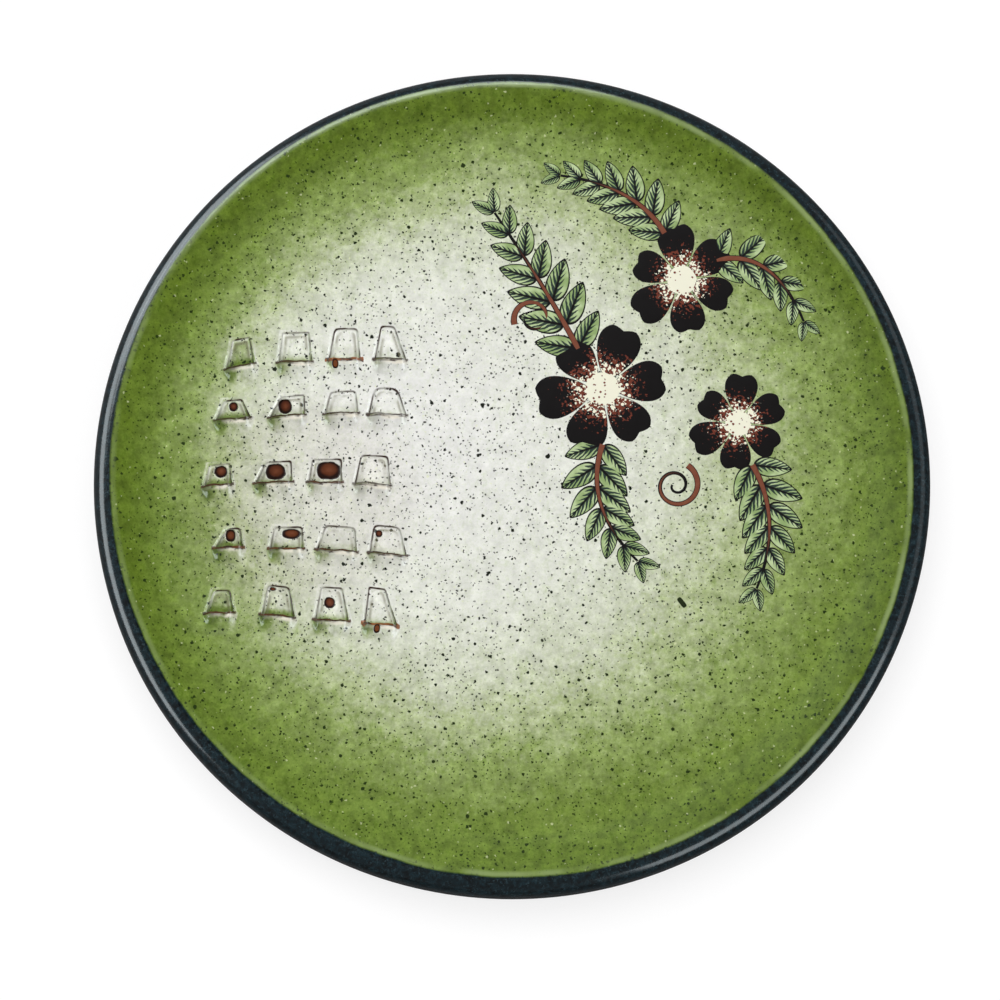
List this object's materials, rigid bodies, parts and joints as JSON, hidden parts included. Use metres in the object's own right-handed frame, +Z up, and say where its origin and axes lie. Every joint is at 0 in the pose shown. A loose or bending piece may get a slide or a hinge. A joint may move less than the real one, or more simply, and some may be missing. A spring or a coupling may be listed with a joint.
{
  "type": "garlic grater plate",
  "caption": "Shallow round glazed plate with a raised dark rim and rows of sharp punched teeth on its floor for grating garlic.",
  "frame": {"origin": "on the table, under the middle of the plate", "axes": "+Z up out of the plate's face; +X towards the plain half of the floor, away from the teeth; +Y towards the top of the picture, the side the teeth face"},
  "size_m": [0.12, 0.12, 0.0097],
  "materials": {
    "clay": "bare fired red clay",
    "speckled_glaze": "glossy speckled glaze, white in the middle and green towards the rim",
    "dark_glaze": "glossy blue-black glaze",
    "tooth_glaze": "glossy glaze, worn brown along the lip"
  },
  "bodies": {
    "root": {"clay_body": "clay", "face_glaze": "speckled_glaze", "rim_glaze": "dark_glaze", "tooth_r1c1": "tooth_glaze", "tooth_r1c2": "tooth_glaze", "tooth_r1c3": "tooth_glaze", "tooth_r1c4": "tooth_glaze", "tooth_r2c1": "tooth_glaze", "tooth_r2c2": "tooth_glaze", "tooth_r2c3": "tooth_glaze", "tooth_r2c4": "tooth_glaze", "tooth_r3c1": "tooth_glaze", "tooth_r3c2": "tooth_glaze", "tooth_r3c3": "tooth_glaze", "tooth_r3c4": "tooth_glaze", "tooth_r4c1": "tooth_glaze", "tooth_r4c2": "tooth_glaze", "tooth_r4c3": "tooth_glaze", "tooth_r4c4": "tooth_glaze", "tooth_r5c1": "tooth_glaze", "tooth_r5c2": "tooth_glaze", "tooth_r5c3": "tooth_glaze", "tooth_r5c4": "tooth_glaze"}
  },
  "joints": []
}
